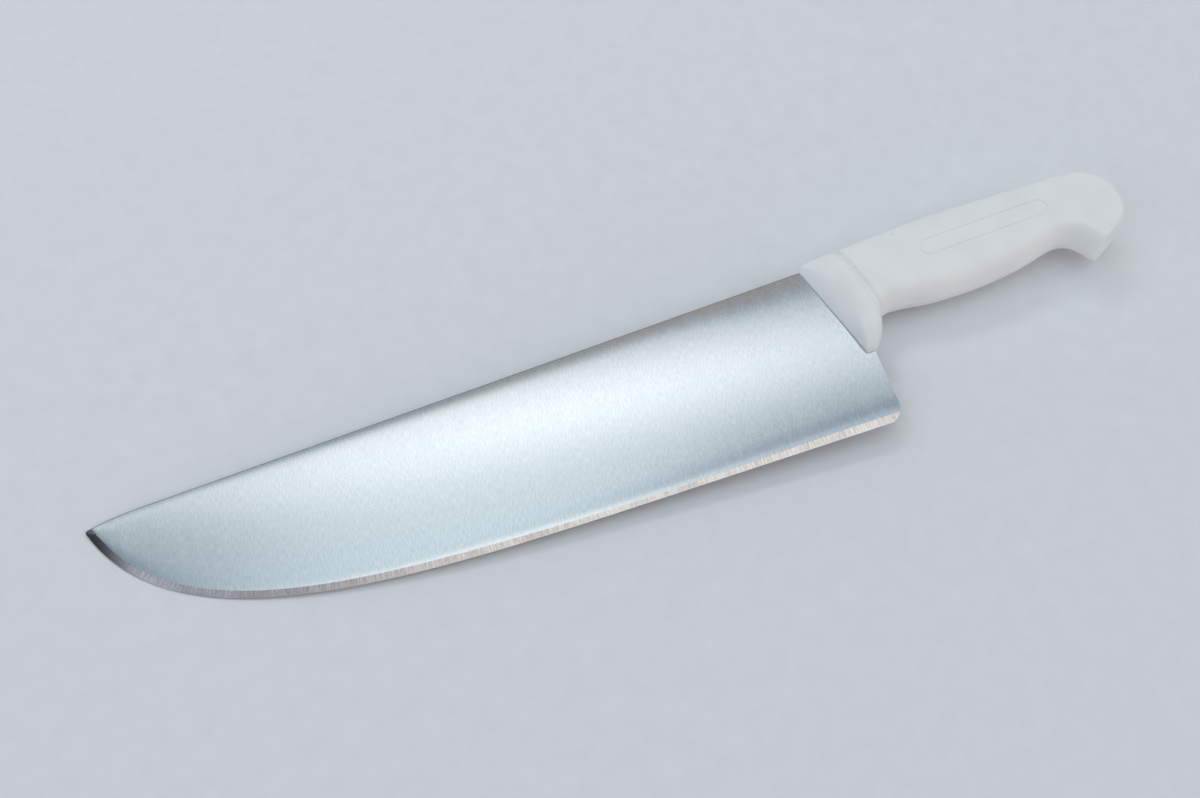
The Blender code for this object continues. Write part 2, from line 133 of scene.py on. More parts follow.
# Handle
HANDLE_LENGTH = 0.1395
GRIP_THICKNESS = 0.0208
GRIP_CROWN = 0.0042  # the back of the grip stands this far above the spine
GRIP_BELLY = 0.0326  # the belly of the grip hangs this far below it
NECK_DEPTH = 0.0292  # underside of the grip behind the guard
FINGER_DEPTH = 0.0273  # and in the hollow before the hook
HOOK_DEPTH = 0.0369  # point of the hook
GRIP_EDGE = 0.0088  # rounding of the grip's long edges
GRIP_SQUARE = 2.2  # 2 rounds them to an ellipse, more to a squarer corner
HOOK_EDGE = 0.0058
HOOK_SQUARE = 2.1

# The tang's edges and centre line
TANG_TOP = -TANG_COVER
TANG_BOTTOM = TANG_COVER - FINGER_DEPTH
TANG_MIDDLE = (TANG_TOP + TANG_BOTTOM) / 2

# Guard
GUARD_DEPTH = 0.0450
GUARD_LEAN = 12.4
GUARD_THICKNESS = 0.0256
GUARD_NOSE = 0.0006
GUARD_BACK = 0.0029
GUARD_LIP = 0.0009
GUARD_CORNER = 0.003
GUARD_SQUARE = 2.5
GUARD_FLARE = (0.0, 0.12, 0.32, 0.56, 0.8, 1.0)  # sections from the blade to the rim
RIM_TOP = 0.0122  # the rim lies this far behind the front, at the top
RIM_FOOT = 0.0064  # and at the foot
RIM_RISE = 0.0032  # its foot is this much higher than the front's
RIM_BOW = 0.0023  # and its middle bows back this far
ROLL_TOP = 0.0035  # behind the rim the guard rolls over to the grip in this length
ROLL_FOOT = 0.0062
ROLL_SECTIONS = ((0.30, 0.75), (0.62, 0.16), (1.0, 0.0))  # way to the grip, and flare left there
NECK_SWELL = 0.0026  # the roll ends this far below the neck
RIM_SHADE_RING = 73  # the ring of the handle in the corner behind the rim
RIM_SHADE_REACH = 0.0017  # painted shade reaches this far out from it

# Label field
FIELD_START = 0.0475
FIELD_LENGTH = 0.0585
FIELD_HEIGHT = 0.0076
FIELD_CENTRE = 0.0132

# Fineness of the meshes
STRAIGHT_STEPS = 30
BELLY_STEPS = 110
FLANK_STEPS = 16
ROLL_STEPS = 8
CROWN_STEPS = 8
CROWN_KNEE = 0.16
ARC_STEPS = 16
HOLE_SIDES = 48
SPAN_STEPS = 9
CORNER_STEPS = 14
SIDE_STEPS = 8
SMOOTH_ANGLE = 32.0  # the handle is shaded smooth across edges flatter than this
FINISH_ANGLE = 30.0  # and so is each finish of the blade
MERGE = 1e-6  # points nearer than this are one
EDGE_FACE = 0.7  # faces that lie less flat than this belong to the spine or the edge
CORNER_FACE = 0.985  # and above the bevel, faces less flat than this to the broken corner
FINE_EASE = 0.0001  # finer facets bulge past the coarse ones, so the handle is this much smaller

# Camera: its place in the knife's frame, and its aim
CAMERA_PLACE = (-0.2142, -0.3105, 0.5967)
CAMERA_ELEVATION = 62.5
CAMERA_AZIMUTH = 22.13
LENS = 51.0  # for the default 36 mm wide sensor

# The kinds of node used most
MATH = "ShaderNodeMath"
MIX = "ShaderNodeMix"
NOISE = "ShaderNodeTexNoise"
RANGE = "ShaderNodeMapRange"
BUMP = "ShaderNodeBump"
VECTOR_MATH = "ShaderNodeVectorMath"
COORDINATES = "ShaderNodeTexCoord"

# Sockets of the colour Mix node
FACTOR, FIRST, SECOND, RESULT = 0, 6, 7, 2

# Patterns
STREAKS = ((1, 6), (6, 60), (1, 60))  # fine and broad streaks and cuts, across and along, in line spacings
BROAD_SHARE = 0.2  # what the broad streaks add to the fine ones
BELT_ROUGH = (0.14, 0.15)  # roughness of the ground flank
FLANK_DARKEN = (0.0005, 0.005)  # fully dark, and not at all, this far from the tip
BEVEL_DARKEN = (0.002, 0.016)
HONE_STRETCH = 10  # marks of the wheel are this many times longer than wide
WHEEL_PATCH = 0.015
PATCH_SHARE = 0.6  # what these patches add to the marks
GRAIN_DEPTH = 0.05  # depth of the plastic's grain, as a share of its size
SINK_DEPTH = 0.008  # and of its sink marks
NOISE_RANGE = {"From Min": 0.3, "From Max": 0.7}  # most of a noise lies in it

Station = namedtuple("Station", "outer inner half bow outer_edge inner_edge square")


def linear(hex_colour):
    """An sRGB hex colour as linear red, green, blue and alpha."""
    levels = [int(hex_colour[k : k + 2], 16) / 255 for k in (1, 3, 5)]
    return (*[v / 12.92 if v <= 0.04045 else ((v + 0.055) / 1.055) ** 2.4 for v in levels], 1.0)


def mix(low, high, share):
    """Blends two values."""
    return low + (high - low) * share


def smooth(share):
    """Eases a share between 0 and 1."""
    share = min(max(share, 0.0), 1.0)
    return share * share * (3 - 2 * share)


def resting_matrix():
    """Where the knife's own frame lies, read from the mount on the upper side of the grip."""
    mount = frame["record"]["mounts"][0]
    turn = Vector((0.0, 0.0, 1.0)).rotation_difference(Vector(mount["axis"])).to_matrix().to_4x4()
    seat = Vector((FIELD_START + FIELD_LENGTH / 2, -FIELD_CENTRE, GRIP_THICKNESS / 2))
    return Matrix.Translation(Vector(mount["pos_m"]) - turn @ seat) @ turn


RESTING = resting_matrix()


def add(tree, kind, inputs, **settings):
    """Adds a node with its settings, and links or values for its sockets."""
    node = tree.nodes.new(kind)
    for name, value in settings.items():
        setattr(node, name, value)
    for socket, value in inputs.items():
        if isinstance(value, bpy.types.NodeSocket):
            tree.links.new(value, node.inputs[socket])
        else:
            node.inputs[socket].default_value = value
    return node


def scaled(colour, level):
    """A colour at another level."""
    return (*[value * level for value in colour[:3]], 1.0)


def new_material(name):
    """An empty node material and its tree."""
    material = bpy.data.materials.new(name)
    material.use_nodes = True
    material.node_tree.nodes.clear()
    return material, material.node_tree


def finish_material(material, inputs):
    """Gives a material its one Principled surface."""
    shader = add(material.node_tree, "ShaderNodeBsdfPrincipled", inputs)
    add(material.node_tree, "ShaderNodeOutputMaterial", {"Surface": shader.outputs[0]})
    return material


def ground_surface(material, colour, rough, streaked, marks, depth):
    """Gives a material bare steel whose grinding lines follow the UV map."""
    tree = material.node_tree
    bump = add(tree, BUMP, {"Height": marks, "Distance": depth})
    tangent = add(tree, "ShaderNodeTangent", {}, direction_type="UV_MAP", uv_map="lay")
    surface = {
        "Base Color": colour,
        "Metallic": 1.0,
        "Roughness": rough,
        "Anisotropic": streaked,
        "Normal": bump.outputs[0],
        "Tangent": tangent.outputs[0],
    }
    return finish_material(material, surface)


def loft(name, rings):
    """Skins a row of closed rings and caps both ends."""
    bm = bmesh.new()
    rows = [[bm.verts.new(point) for point in ring] for ring in rings]
    count = len(rows[0])
    for near, far in zip(rows, rows[1:]):
        for k in range(count):
            after = (k + 1) % count
            bm.faces.new((near[k], near[after], far[after], far[k]))
    bm.faces.new(rows[0])
    bm.faces.new(rows[-1])
    bmesh.ops.recalc_face_normals(bm, faces=bm.faces)
    mesh = bpy.data.meshes.new(name)
    bm.to_mesh(mesh)
    bm.free()
    return new_object(name, mesh)


def new_object(name, data):
    """Puts a mesh, curve, lamp or camera into the scene as an object."""
    thing = bpy.data.objects.new(name, data)
    bpy.context.scene.collection.objects.link(thing)
    return thing


def evaluated_mesh(thing):
    """Gives the object's mesh with its modifiers applied."""
    graph = bpy.context.evaluated_depsgraph_get()
    return bpy.data.meshes.new_from_object(thing.evaluated_get(graph))


def plate(name, outlines, half, centre=0.0):
    """Extrudes flat outlines, holes among them, to a plate about Z = centre."""
    curve = bpy.data.curves.new(name, "CURVE")
    curve.dimensions = "2D"
    curve.fill_mode = "BOTH"
    curve.extrude = half
    for outline in outlines:
        spline = curve.splines.new("POLY")
        spline.points.add(len(outline) - 1)
        for point, (x, y) in zip(spline.points, outline):
            point.co = (x, y, 0.0, 1.0)
        spline.use_cyclic_u = True
    drawn = new_object(name + "_curve", curve)
    bpy.context.view_layer.update()
    mesh = evaluated_mesh(drawn)
    bpy.data.objects.remove(drawn, do_unlink=True)
    bm = bmesh.new()
    bm.from_mesh(mesh)
    bmesh.ops.translate(bm, verts=bm.verts, vec=(0.0, 0.0, centre))
    bmesh.ops.remove_doubles(bm, verts=bm.verts, dist=MERGE)
    bmesh.ops.recalc_face_normals(bm, faces=bm.faces)
    bm.to_mesh(mesh)
    bm.free()
    return new_object(name, mesh)


def combine(target, tool, operation):
    """Cuts or joins a solid with another one, which goes."""
    step = target.modifiers.new(operation.lower(), "BOOLEAN")
    step.operation = operation
    step.object = tool
    bpy.context.view_layer.update()
    mesh = evaluated_mesh(target)
    target.modifiers.clear()
    target.data = mesh
    bpy.data.objects.remove(tool, do_unlink=True)


def arc(centre, radius, start, end, steps):
    """Points on an arc, with both its ends."""
    turns = [math.radians(mix(start, end, k / steps)) for k in range(steps + 1)]
    return [(centre[0] + radius * math.cos(turn), centre[1] + radius * math.sin(turn)) for turn in turns]


def bezier(points, share):
    """A point on a cubic Bezier curve, and the direction there."""
    a, b, c, d = points
    rest = 1 - share
    place = a * rest**3 + b * 3 * rest**2 * share + c * 3 * rest * share**2 + d * share**3
    heading = (b - a) * rest**2 + (c - b) * 2 * rest * share + (d - c) * share**2
    return place, heading.normalized()


def edge_height(x):
    """Height of the straight part of the cutting edge."""
    return -HEEL_DEPTH - x * math.tan(math.radians(EDGE_RISE))


def spine_height(x):
    """Height of the spine, which bends down near the tip."""
    share = max(0.0, (TIP_DROP_RUN - BLADE_LENGTH - x) / TIP_DROP_RUN)
    return -TIP_DROP * share**TIP_DROP_CURVE


def edge_rungs():
    """Points along the cutting edge from behind the heel to the tip, with their headings."""
    start = Vector((HEEL_BACK + HEEL_RADIUS / 2, 0.0))
    start.y = edge_height(start.x)
    bend = Vector((-EDGE_STRAIGHT, edge_height(-EDGE_STRAIGHT)))
    along = (bend - start).normalized()
    tip = Vector((-BLADE_LENGTH, -TIP_DROP - TIP_BLUNT))
    lean = math.radians(TIP_ANGLE)
    toe = tip + Vector((math.cos(lean), -math.sin(lean))) * TIP_REACH
    belly = [bend, bend + along * BELLY_REACH, toe, tip]
    rungs = [(start.lerp(bend, k / STRAIGHT_STEPS), along) for k in range(STRAIGHT_STEPS)]
    return rungs + [bezier(belly, k / BELLY_STEPS) for k in range(BELLY_STEPS + 1)]


def bevel_width(place, tip):
    """Width of the bevel: wide at the heel, narrow along the straight, wider again round the belly."""
    heel_share = 1 - smooth(-place.x / BEVEL_HEEL_RUN)
    belly_share = smooth((-place.x - EDGE_STRAIGHT) / BEVEL_BELLY_RUN)
    width = BEVEL + (BEVEL_HEEL - BEVEL) * heel_share + (BEVEL_BELLY - BEVEL) * belly_share
    fade = min(1.0, (place - tip).length / BEVEL_TIP_RUN)
    return max(width * fade, TIP_BLUNT / 2)


def flank_half(x, part, height, shoulder_half, spine_half):
    """Half thickness on the way from spine to bevel: a full grind that rolls over at both ends."""
    roll = min(ROLL_RUN / height, ROLL_SHARE)
    roll_drop = math.tan(math.radians(ROLL_TURN)) * roll * height / 3
    crown_run = mix(CROWN_RUN, CROWN_RUN_TIP, -x / BLADE_LENGTH)
    crown_run += CROWN_RUN_GUARD * smooth(1 + x / CROWN_FADE)
    crown = min(crown_run / height, CROWN_SHARE)
    crown_drop = math.tan(math.radians(CROWN_TURN)) * crown * height / 3
    half = spine_half - (spine_half - shoulder_half - roll_drop) * part**GRIND_ROUND
    half -= roll_drop * max(0.0, 1 - (1 - part) / roll) ** 3
    return half - crown_drop * max(0.0, 1 - part / crown) ** 3


def blade_ring(place, heading, tip, grow):
    """Section of the ground bar across one point of its edge."""
    fade = min(1.0, (TIP_BLUNT + (place - tip).length) / TIP_RUN) ** TIP_FADE
    share = min(max(-place.x / BLADE_LENGTH, 0.0), 1.0)
    top = Vector((place.x, spine_height(place.x) + grow))
    inward = Vector((heading.y, -heading.x)) * bevel_width(place, tip)
    shoulder = place + inward
    height = (top - shoulder).length
    spine_half = mix(STOCK, TIP_STOCK, share) / 2 * fade
    shoulder_half = SHOULDER / 2 * fade
    ease = SPINE_ROUND * fade
    crest = flank_half(place.x, 0.0, height, shoulder_half, spine_half)
    side = []
    for y, z in arc((ease, crest - ease), ease, 180.0, 90.0, 4)[:-1]:
        side.append((top - Vector((0.0, y)), z))
    knee = 1 - ROLL_RUN / HEEL_DEPTH
    parts = [ease / height]
    parts += [mix(0.0, CROWN_KNEE, k / CROWN_STEPS) for k in range(1, CROWN_STEPS + 1)]
    parts += [mix(CROWN_KNEE, knee, k / FLANK_STEPS) for k in range(1, FLANK_STEPS + 1)]
    parts += [mix(knee, 1.0, k / ROLL_STEPS) for k in range(1, ROLL_STEPS + 1)]
    for part in parts:
        half = flank_half(place.x, part, height, shoulder_half, spine_half)
        side.append((top.lerp(shoulder, part), half))
    side.append((place - Vector((0.0, grow)), EDGE / 2))
    right = [(point.x, point.y, half + grow) for point, half in side]
    left = [(x, y, -z) for x, y, z in reversed(right)]
    return right + left


def heel_outline(grow):
    """Outline of what is cut away behind the heel and above the tang."""
    lean = math.tan(math.radians(HEEL_LEAN))
    rise = math.radians(EDGE_RISE)

    def back(y):
        return HEEL_BACK + grow + (y + GUARD_DEPTH) * lean

    reach = HEEL_RADIUS + grow
    low = -HEEL_DEPTH - grow + reach
    centre = (back(low) - reach / math.cos(math.radians(HEEL_LEAN)), low - HEEL_BACK * math.tan(rise))
    corner = arc(centre, reach, -HEEL_LEAN, -HEEL_TURN, ARC_STEPS)
    shoulder = TANG_SHOULDER + grow
    far = HEEL_BACK + CUTTER_PAST
    below = -HEEL_DEPTH - CUTTER_PAST
    return (
        [(shoulder, CUTTER_PAST), (shoulder, TANG_MIDDLE), (back(TANG_MIDDLE), TANG_MIDDLE)]
        + corner
        + [(corner[-1][0], below), (far, below), (far, CUTTER_PAST)]
    )


def tang_outlines(grow):
    """Outline of the tang and of its anchoring holes."""
    end = HANDLE_LENGTH - TANG_END_COVER + grow
    top = TANG_TOP + grow
    bottom = TANG_BOTTOM - grow
    radius = TANG_CORNER + grow
    start = TANG_SET_BACK - TANG_BOTTOM * math.tan(math.radians(GUARD_LEAN)) - grow
    body = [(start, bottom)]
    body += arc((end - radius, bottom + radius), radius, -90.0, 0.0, ARC_STEPS)
    body += arc((end - radius, top - radius), radius, 0.0, 90.0, ARC_STEPS)
    body += [(start, top)]
    last = end - grow - HOLE_RADIUS * 3
    places = [(last - k * HOLE_PITCH, TANG_MIDDLE) for k in range(HOLE_COUNT)]
    turn = 360.0 * (1 - 1 / HOLE_SIDES)
    return [body] + [arc(place, HOLE_RADIUS - grow, 0.0, turn, HOLE_SIDES - 1) for place in places]


def draw_blade(name, grow):
    """The blade with its tang: a ground bar, trimmed at the heel and joined with the tang."""
    rungs = edge_rungs()
    tip = rungs[-1][0]
    blade = loft(name, [blade_ring(place, heading, tip, grow) for place, heading in rungs])
    combine(blade, plate(name + "_heel_cutter", [heel_outline(grow)], HEEL_DEPTH), "DIFFERENCE")
    combine(blade, plate(name + "_tang", tang_outlines(grow), STOCK / 2 + grow), "UNION")
    return blade


def guard_stations():
    """Sections of the guard: the front flares from the blade to the rim, then rolls over to the grip."""
    grip = GRIP_THICKNESS / 2
    rim = GUARD_THICKNESS / 2
    lip = STOCK / 2 + bpy.context.scene.knife_handle.clearance + GUARD_LIP
    tall = GUARD_DEPTH / 2
    foot = GUARD_DEPTH * math.tan(math.radians(GUARD_LEAN))
    rows = []
    for share in GUARD_FLARE:
        swell = math.sin(math.radians(90.0 * share**0.8))
        outer = (RIM_TOP * share, mix(GUARD_NOSE, GUARD_BACK, 1 - (1 - share) ** 9))
        inner = (foot + RIM_FOOT * share, RIM_RISE * share**3 - GUARD_DEPTH)
        edge = mix(GUARD_CORNER, tall, smooth(share * 1.6))
        square = mix(2.0, GUARD_SQUARE, min(1.0, share * 2))
        rows.append(Station(outer, inner, mix(lip, rim, swell), RIM_BOW * share, edge, edge, square))
    for share, side in ROLL_SECTIONS:
        outer = (RIM_TOP + ROLL_TOP * share, GUARD_BACK)
        depth = mix(GUARD_DEPTH - RIM_RISE, NECK_DEPTH + NECK_SWELL, share**1.5)
        inner = (foot + RIM_FOOT + ROLL_FOOT * share, -depth)
        edge = mix(tall, GRIP_EDGE * 1.2, share**0.7)
        square = mix(GUARD_SQUARE, GRIP_SQUARE, share)
        rows.append(Station(outer, inner, mix(grip, rim, side), RIM_BOW * (1 - share), edge, edge, square))
    return rows


def grip_stations():
    """Sections of the grip, from behind the guard to the hollow for the little finger."""
    half = GRIP_THICKNESS / 2
    neck = -NECK_DEPTH
    belly = -GRIP_BELLY
    finger = -FINGER_DEPTH
    butt = HANDLE_LENGTH
    # Back of the grip, its underside, and the rounding of the edges between.
    rows = [
        ((0.0215, 0.0030), (0.0262, neck - 0.0003), GRIP_EDGE * 1.1),
        ((0.0300, 0.0033), (0.0325, neck - 0.0003), GRIP_EDGE),
        ((0.0430, 0.0038), (0.0450, belly + 0.0010), GRIP_EDGE),
        ((0.0590, GRIP_CROWN), (0.0610, belly), GRIP_EDGE),
        ((butt - 0.0625, 0.0034), (butt - 0.0630, belly + 0.0004), GRIP_EDGE),
        ((butt - 0.0465, 0.0028), (butt - 0.0480, finger - 0.0030), GRIP_EDGE),
        ((butt - 0.0330, 0.0020), (butt - 0.0385, finger - 0.0008), GRIP_EDGE * 0.9),
    ]
    return [Station(outer, inner, half, 0.0, edge, edge, GRIP_SQUARE) for outer, inner, edge in rows]


def hook_stations():
    """Sections that fan round the butt to the point of the hook."""
    half = GRIP_THICKNESS / 2
    edge = HOOK_EDGE
    finger = -FINGER_DEPTH
    butt = HANDLE_LENGTH
    point = -HOOK_DEPTH
    # Outside, inside, half the thickness, and the rounding of the outer and the inner edge.
    rows = [
        ((butt - 0.0205, 0.0011), (butt - 0.0325, finger), half, edge * 1.2, 0.0058),
        ((butt - 0.0114, -0.0006), (butt - 0.0284, finger - 0.0006), half, edge, 0.0044),
        ((butt - 0.0044, -0.0052), (butt - 0.0258, finger - 0.0022), half, edge, 0.0040),
        ((butt - 0.0008, -0.0116), (butt - 0.0242, finger - 0.0042), half, edge, 0.0038),
        ((butt, -0.0186), (butt - 0.0231, finger - 0.0061), half, edge, 0.0038),
        ((butt - 0.0018, -0.0256), (butt - 0.0222, finger - 0.0076), half, edge, 0.0038),
        ((butt - 0.0058, -0.0301), (butt - 0.0214, point + 0.0010), half, 0.0066, 0.0038),
        ((butt - 0.0104, -0.0330), (butt - 0.0206, point + 0.0002), half * 0.95, 0.0058, 0.0036),
        ((butt - 0.0144, -0.0350), (butt - 0.0199, point), half * 0.78, 0.0036, 0.0026),
        ((butt - 0.0168, -0.0361), (butt - 0.0190, point + 0.0001), half * 0.5, 0.0012, 0.0010),
    ]
    return [Station(outer, inner, wide, 0.0, top, low, HOOK_SQUARE) for outer, inner, wide, top, low in rows]


def slope(before, here, after, step_before, step_after, limited):
    """Slope of a smooth curve at a knot; a limited one never overshoots its knots."""
    first = (here - before) / step_before
    second = (after - here) / step_after
    if limited and first * second <= 0.0:
        return 0.0
    mean = (first * step_after + second * step_before) / (step_before + step_after)
    if limited:
        bound = 3 * min(abs(first), abs(second))
        return min(max(mean, -bound), bound)
    return mean


def spline_row(knots, values, limited):
    """Values of a smooth curve through the knots, with SPAN_STEPS steps in each span."""
    count = len(knots)
    slopes = []
    for k in range(count):
        low = max(k - 1, 0)
        high = min(k + 1, count - 1)
        if low == k or high == k:
            slopes.append((values[high] - values[low]) / (knots[high] - knots[low]))
        else:
            gap_before = knots[k] - knots[low]
            gap_after = knots[high] - knots[k]
            slopes.append(slope(values[low], values[k], values[high], gap_before, gap_after, limited))
    row = []
    for k in range(count - 1):
        span = knots[k + 1] - knots[k]
        for step in range(SPAN_STEPS):
            t = step / SPAN_STEPS
            rest = 1 - t
            start = values[k] * (1 + 2 * t) * rest**2 + slopes[k] * span * t * rest**2
            end = values[k + 1] * t**2 * (3 - 2 * t) - slopes[k + 1] * span * t**2 * rest
            row.append(start + end)
    row.append(values[-1])
    return row


def handle_ring(outer, inner, half, bow, outer_edge, inner_edge, square):
    """Ring round one section: flat sides, rounded edges, and the seam of the mould at its middle."""
    sizes = bpy.context.scene.knife_handle
    across = inner - outer
    down = across.normalized()
    inset = sizes.seam_height + FINE_EASE
    outer = outer + down * inset
    width = across.length - 2 * inset
    half -= FINE_EASE
    aft = Vector((-down.y, down.x))
    fit = min(1.0, 0.96 * width / (outer_edge + inner_edge))
    outer_edge *= fit
    inner_edge *= fit
    turns = [math.radians(90.0 * k / CORNER_STEPS) for k in range(CORNER_STEPS + 1)]
    rise = [(1 - math.cos(turn) ** (2 / square), half * math.sin(turn) ** (2 / square)) for turn in turns]
    seam = (1 - math.sqrt(1 - (sizes.seam_width / 2 / half) ** 2), sizes.seam_width / 2)
    rise = rise[:1] + [seam] + rise[1:]
    side = [(outer_edge * part, z) for part, z in rise]
    for k in range(1, SIDE_STEPS):
        side.append((mix(outer_edge, width - inner_edge, k / SIDE_STEPS), half))
    side += [(width - inner_edge * part, z) for part, z in reversed(rise)]
    side[0] = (-sizes.seam_height, 0.0)
    side[-1] = (width + sizes.seam_height, 0.0)
    ring = side + [(w, -z) for w, z in reversed(side[1:-1])]
    points = []
    for w, z in ring:
        place = outer + down * w + aft * bow * (1 - (2 * w / width - 1) ** 2)
        points.append((place.x, place.y, z))
    return points


def handle_rings():
    """Rings of the handle, in even steps between its stations."""
    stations = guard_stations() + grip_stations() + hook_stations()
    knots = [0.0]
    for near, far in zip(stations, stations[1:]):
        upper = (Vector(far.outer) - Vector(near.outer)).length
        lower = (Vector(far.inner) - Vector(near.inner)).length
        knots.append(knots[-1] + (upper + lower) / 2)
    rails = []
    for rail in ("outer", "inner"):
        for axis in (0, 1):
            rails.append(spline_row(knots, [getattr(station, rail)[axis] for station in stations], False))
    shapes = []
    for field in Station._fields[2:]:
        shapes.append(spline_row(knots, [getattr(station, field) for station in stations], True))
    rings = []
    for ox, oy, ix, iy, *shape in zip(*rails, *shapes):
        rings.append(handle_ring(Vector((ox, oy)), Vector((ix, iy)), *shape))
    return rings


def racetrack(length, height, centre):
    """Outline with straight sides and round ends."""
    radius = height / 2
    reach = length / 2 - radius
    right = arc((centre[0] + reach, centre[1]), radius, -90.0, 90.0, ARC_STEPS)
    left = arc((centre[0] - reach, centre[1]), radius, 90.0, 270.0, ARC_STEPS)
    return right + left


def draw_handle(name):
    """The handle, moulded round the tang: guard, grip and hook in one piece."""
    sizes = bpy.context.scene.knife_handle
    handle = loft(name, handle_rings())
    combine(handle, draw_blade(name + "_slot", sizes.clearance), "DIFFERENCE")
    centre = (FIELD_START + FIELD_LENGTH / 2, -FIELD_CENTRE)
    width = sizes.groove_width
    ring = [
        racetrack(FIELD_LENGTH, FIELD_HEIGHT, centre),
        racetrack(FIELD_LENGTH - width * 2, FIELD_HEIGHT - width * 2, centre),
    ]
    combine(handle, plate(name + "_groove", ring, sizes.groove_depth, GRIP_THICKNESS / 2), "DIFFERENCE")
    return handle


def mark_rim_shade(handle):
    """Marks the corner behind the rim, where shade is painted, in an attribute of the mesh."""
    corner = [Vector(point) for point in handle_rings()[RIM_SHADE_RING]]
    spots = []
    for near, far in zip(corner, corner[1:] + corner[:1]):
        spots += [near.lerp(far, k / SPAN_STEPS) for k in range(SPAN_STEPS)]
    tree = KDTree(len(spots))
    for k, spot in enumerate(spots):
        tree.insert(spot, k)
    tree.balance()
    rim_shade = handle.data.attributes.new("rim_shade", "FLOAT", "POINT")
    for vertex, mark in zip(handle.data.vertices, rim_shade.data):
        mark.value = smooth(1 - tree.find(vertex.co)[2] / RIM_SHADE_REACH)


def lay_down(thing):
    """Puts the mesh where the knife rests, and lets it ride on the part."""
    thing.data.transform(RESTING)
    thing.data.update()
    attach(thing, "root")


def finish_blade(thing):
    """Sorts the faces by their finish, and lays the grinding direction into a UV map."""
    rungs = [place for place, heading in edge_rungs()]
    tip = rungs[-1]
    tree = KDTree(len(rungs))
    along = [0.0]
    for k, place in enumerate(rungs):
        tree.insert((place.x, place.y, 0.0), k)
        if k:
            along.append(along[-1] + (place - rungs[k - 1]).length)
    tree.balance()
    bm = bmesh.new()
    bm.from_mesh(thing.data)
    lay = bm.loops.layers.uv.new("lay")
    for face in bm.faces:
        middle = face.calc_center_median()
        k = tree.find((middle.x, middle.y, 0.0))[1]
        heading = (rungs[min(k + 1, len(rungs) - 1)] - rungs[max(k - 1, 0)]).normalized()
        inward = Vector((heading.y, -heading.x))
        depth = (Vector((middle.x, middle.y)) - rungs[k]).dot(inward)
        face.smooth = True
        face.material_index = 0
        if abs(face.normal.z) < EDGE_FACE:
            face.material_index = 2
        elif depth < bevel_width(rungs[k], tip) and middle.x < HEEL_BACK:
            face.material_index = 1
        elif abs(face.normal.z) < CORNER_FACE:
            face.material_index = 2
        for loop in face.loops:
            spot = loop.vert.co
            if face.material_index == 1:
                offset = Vector((spot.x, spot.y)) - rungs[k]
                loop[lay].uv = (along[k] + offset.dot(heading), offset.dot(inward))
            else:
                loop[lay].uv = (spot.x, spot.y)
    for edge in bm.edges:
        kinds = {face.material_index for face in edge.link_faces}
        edge.smooth = len(kinds) == 1 and edge.calc_face_angle(0.0) < math.radians(FINISH_ANGLE)
    bm.to_mesh(thing.data)
    bm.free()


def soft_edge(tree, value, edge, soft):
    """A share that falls from 1 to 0 about an edge."""
    inputs = {"Value": value, "From Min": edge - soft, "From Max": edge + soft, "To Min": 1.0, "To Max": 0.0}
    return add(tree, RANGE, inputs, interpolation_type="SMOOTHSTEP").outputs[0]


def tip_darken(tree, colour, full, run):
    """The colour, darker brown-grey near the tip, fading over a run along the blade."""
    tip = (RESTING @ Vector((-BLADE_LENGTH, 0.0, 0.0))).x
    place = add(tree, COORDINATES, {}).outputs["Object"]
    split = add(tree, "ShaderNodeSeparateXYZ", {0: place})
    middle = tip + (full + run) / 2
    darkening = soft_edge(tree, split.outputs[0], middle, (run - full) / 2)
    tip_dark = bpy.context.scene.knife_blade.tip_dark
    return add(tree, MIX, {FACTOR: darkening, FIRST: colour, SECOND: tip_dark}, data_type="RGBA").outputs[RESULT]


def ground_steel():
    """Martensitic stainless steel, ground across on a wide belt and left unpolished.

    The lines of the belt run from spine to edge. They spread a reflection along the blade and leave
    it sharp across, so light and dark lie in long bands.
    """
    looks = bpy.context.scene.knife_blade
    material, tree = new_material("ground_stainless_steel")
    place = add(tree, COORDINATES, {}).outputs["Object"]
    # Belt lines are 0.05 mm apart. They are drawn coarser than that, or they would not show.
    lean = (0.0, 0.0, looks.line_lean)
    noise = []
    for across, along in STREAKS:
        size = (looks.line_spacing * across, looks.line_spacing * along, 1.0)
        inputs = {"Vector": place, "Rotation": lean, "Scale": size}
        spot = add(tree, "ShaderNodeMapping", inputs, vector_type="TEXTURE").outputs[0]
        noise.append(add(tree, NOISE, {"Vector": spot, "Scale": 1.0, "Detail": 0.5}))
    fine, broad, cut = [streak.outputs["Fac"] for streak in noise]
    both = add(tree, MATH, {0: broad, 1: 0.5}, operation="SUBTRACT").outputs[0]
    both = add(tree, MATH, {0: both, 1: BROAD_SHARE, 2: fine}, operation="MULTIPLY_ADD").outputs[0]
    level = add(tree, RANGE, {"Value": both, **NOISE_RANGE}).outputs[0]
    shades = {FACTOR: level, FIRST: looks.dark_line, SECOND: looks.light_line}
    colour = add(tree, MIX, shades, data_type="RGBA").outputs[RESULT]
    # Darker brown-grey towards the tip.
    colour = tip_darken(tree, colour, *FLANK_DARKEN)
    rough_range = {**NOISE_RANGE, "To Min": BELT_ROUGH[0], "To Max": BELT_ROUGH[1]}
    rough = add(tree, RANGE, {"Value": broad, **rough_range}).outputs[0]
    return ground_surface(material, colour, rough, 0.97, cut, looks.line_depth)


